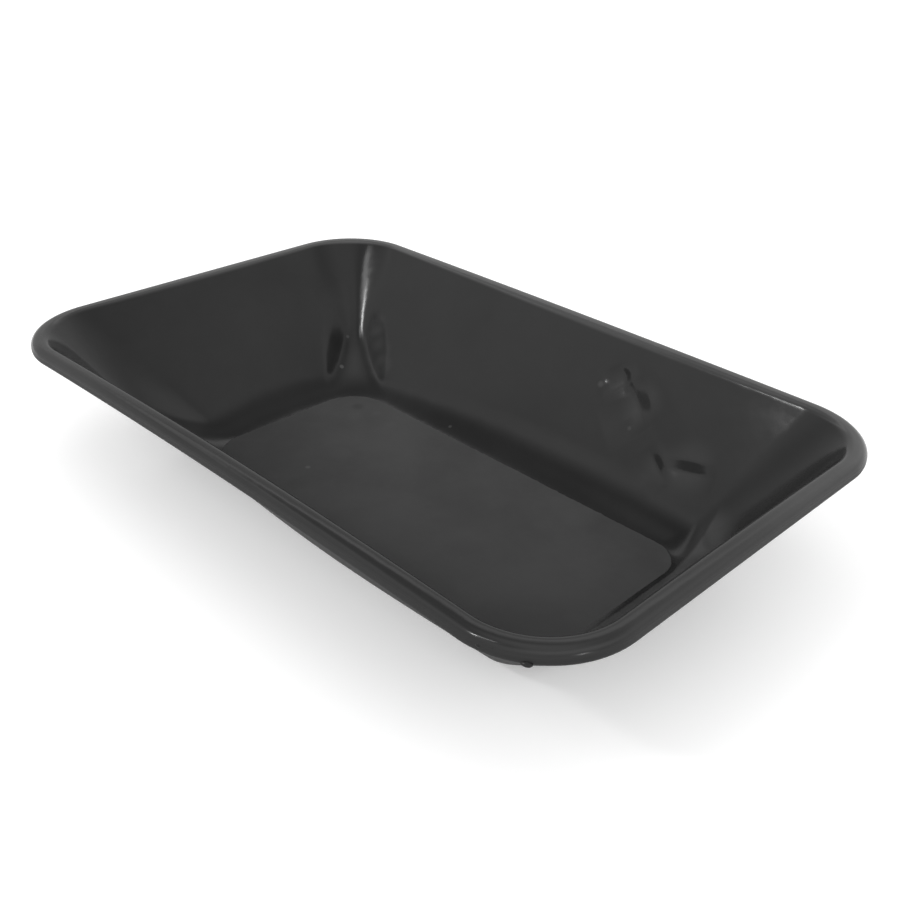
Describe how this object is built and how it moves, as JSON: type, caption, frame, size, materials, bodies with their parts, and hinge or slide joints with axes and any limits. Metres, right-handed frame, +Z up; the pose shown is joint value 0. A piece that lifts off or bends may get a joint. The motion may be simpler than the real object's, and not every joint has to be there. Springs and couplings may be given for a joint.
{
  "type": "wheelbarrow tray",
  "caption": "Bare steel wheelbarrow tray: a flared, round-cornered pan with a flat floor, and an edge rolled down over a wire.",
  "frame": {"origin": "under the middle of the tray, on the plane that the underside of the floor rests on", "axes": "+X towards the narrower front end, +Y to the left, +Z up out of the tray's mouth"},
  "size_m": [0.9, 0.5768, 0.167],
  "materials": {
    "black_paint": "glossy dipped paint",
    "drawn_steel": "drawn wire"
  },
  "bodies": {
    "root": {"tray_pan": "black_paint", "edge_wire": "drawn_steel"}
  },
  "joints": []
}
